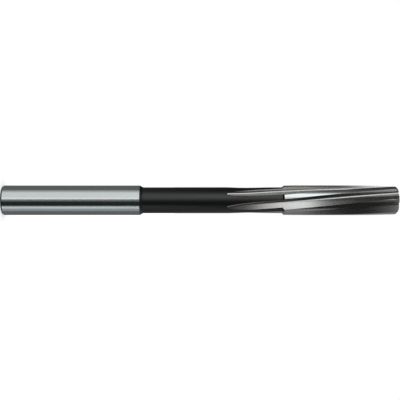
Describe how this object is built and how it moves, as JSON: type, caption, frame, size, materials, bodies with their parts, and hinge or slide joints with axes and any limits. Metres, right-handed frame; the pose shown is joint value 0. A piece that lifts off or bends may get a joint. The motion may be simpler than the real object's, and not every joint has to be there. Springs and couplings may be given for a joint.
{
  "type": "machine reamer",
  "caption": "Machine reamer with a plain cylindrical shank, a relieved neck and a left-hand helical cutting head with a bevel lead.",
  "frame": {"origin": "centre of the shank end face, on the tool axis", "axes": "+Z along the tool axis, from the shank end to the cutting tip"},
  "size_m": [0.01, 0.01, 0.133],
  "materials": {
    "steel": "ground high-speed steel, with a black oxide finish on the neck and shoulder"
  },
  "bodies": {
    "root": {"machine_reamer": "steel"}
  },
  "joints": []
}
